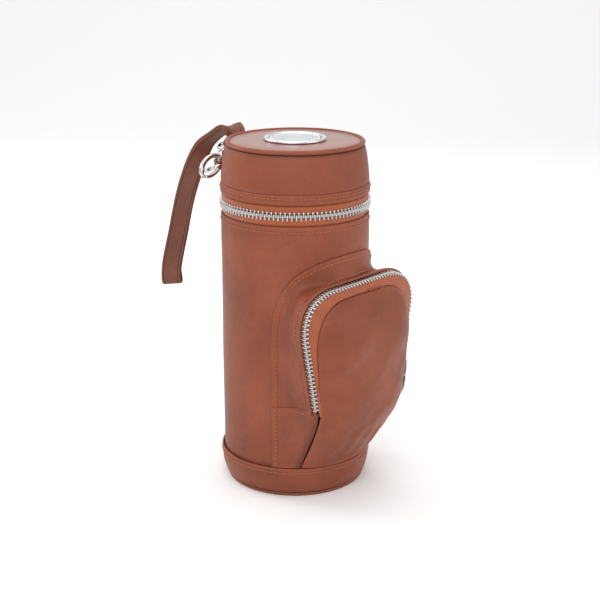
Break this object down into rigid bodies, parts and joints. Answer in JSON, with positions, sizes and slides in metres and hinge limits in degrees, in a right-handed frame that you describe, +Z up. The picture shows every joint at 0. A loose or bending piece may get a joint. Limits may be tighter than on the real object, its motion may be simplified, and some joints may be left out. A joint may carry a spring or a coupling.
{
  "type": "cylindrical accessory case",
  "caption": "Upright cylindrical leather case with a zip-around hinged lid, a zipped bellows pouch, a round lid badge and a wrist strap on a lobster clasp.",
  "frame": {"origin": "centre of the base's underside, where the case stands", "axes": "+Z up along the case's axis, -Y towards the pouch, +Y towards the lid's hinge"},
  "size_m": [0.1012, 0.1538, 0.2139],
  "materials": {
    "cognac_leather": "cognac leather, fine grain, light wear",
    "board": "pasteboard",
    "lining_cloth": "plain woven cloth",
    "zip_tape": "woven orange-brown tape",
    "nickel": "polished nickel"
  },
  "bodies": {
    "case": {"base_disc": "cognac_leather", "base_board": "board", "base_lining": "lining_cloth", "base_band": "cognac_leather", "body_shell": "cognac_leather", "body_stiffener": "board", "body_lining": "lining_cloth", "lower_zip_tape": "zip_tape", "lower_zip_chain": "nickel", "lower_hinge_strip": "cognac_leather", "pouch_gusset": "cognac_leather", "pouch_zip_welt": "cognac_leather", "pouch_rear_tape": "zip_tape", "pouch_rear_chain": "nickel", "pouch_side_left": "cognac_leather", "pouch_side_right": "cognac_leather", "pouch_front_lower": "cognac_leather"},
    "lid": {"lid_wall": "cognac_leather", "lid_zip_facing": "cognac_leather", "lid_stiffener": "board", "lid_lining": "lining_cloth", "lid_board": "board", "lid_top_panel": "cognac_leather", "lid_rim": "cognac_leather", "badge_bezel": "nickel", "badge_plate": "nickel", "upper_zip_tape": "zip_tape", "upper_zip_chain": "nickel", "upper_hinge_strip": "cognac_leather", "ring_tab": "cognac_leather"},
    "main_slider": {"main_slider": "nickel"},
    "main_puller": {"main_puller": "nickel"},
    "pouch_front": {"pouch_front_upper": "cognac_leather", "pouch_front_chain": "nickel", "pouch_front_tape": "zip_tape"},
    "pouch_slider": {"pouch_slider": "nickel"},
    "pouch_puller": {"pouch_puller": "nickel"},
    "d_ring": {"d_ring": "nickel"},
    "clasp": {"clasp_body": "nickel", "gate_pin": "nickel"},
    "clasp_gate": {"clasp_gate": "nickel"},
    "swivel": {"swivel_eye": "nickel"},
    "strap": {"wrist_strap": "cognac_leather"}
  },
  "joints": [
    {"name": "lid_hinge", "type": "hinge", "parent": "case", "child": "lid", "pos_m": [0, 0.0456, 0.1752], "axis": [-1, 0, 0], "range_deg": [0, 100]},
    {"name": "main_slider_travel", "type": "hinge", "parent": "case", "child": "main_slider", "pos_m": [0, 0, 0.1752], "axis": [0, 0, -1], "range_deg": [0, 270]},
    {"name": "main_puller_swing", "type": "hinge", "parent": "main_slider", "child": "main_puller", "pos_m": [0.03338, 0.0358, 0.1752], "axis": [0, 0, -1], "range_deg": [0, 70]},
    {"name": "pouch_front_fold", "type": "hinge", "parent": "case", "child": "pouch_front", "pos_m": [0, -0.066, 0.06], "axis": [1, 0, 0], "range_deg": [0, 55]},
    {"name": "pouch_slider_travel", "type": "slide", "parent": "case", "child": "pouch_slider", "axis": [0.2053, 0, 0.9787], "range_m": [0, 0.02]},
    {"name": "pouch_puller_swing", "type": "hinge", "parent": "pouch_slider", "child": "pouch_puller", "pos_m": [0.04413, -0.05186, 0.06886], "axis": [-0.1976, -0.9794, 0.0414], "range_deg": [0, 70]},
    {"name": "d_ring_swing", "type": "hinge", "parent": "lid", "child": "d_ring", "pos_m": [-0.01288, 0.04645, 0.193], "axis": [0.9636, 0.2672, 0], "range_deg": [-12, 3]},
    {"name": "clasp_swing", "type": "hinge", "parent": "d_ring", "child": "clasp", "pos_m": [-0.0214, 0.053, 0.1896], "axis": [0.0177, -0.968, 0.2505], "range_deg": [-3, 8]},
    {"name": "gate_pivot", "type": "hinge", "parent": "clasp", "child": "clasp_gate", "pos_m": [-0.01063, 0.05309, 0.1916], "axis": [-0.0177, 0.968, -0.2505], "range_deg": [0, 9], "stiffness_Nm_per_rad": 0.01, "springref_deg": -11.46},
    {"name": "swivel_turn", "type": "hinge", "parent": "clasp", "child": "swivel", "pos_m": [0.0042, 0.056, 0.2018], "axis": [-0.9071, -0.121, -0.4032], "range_deg": [-100, 0]},
    {"name": "strap_swing", "type": "hinge", "parent": "swivel", "child": "strap", "pos_m": [0.0042, 0.056, 0.2018], "axis": [-0.1106, 0.9927, -0.0491], "range_deg": [-22, 0]}
  ],
  "couplings": [
    {"joint": "swivel_turn", "follows": "lid_hinge", "ratio": -1},
    {"joint": "strap_swing", "follows": "lid_hinge", "ratio": -0.22}
  ]
}
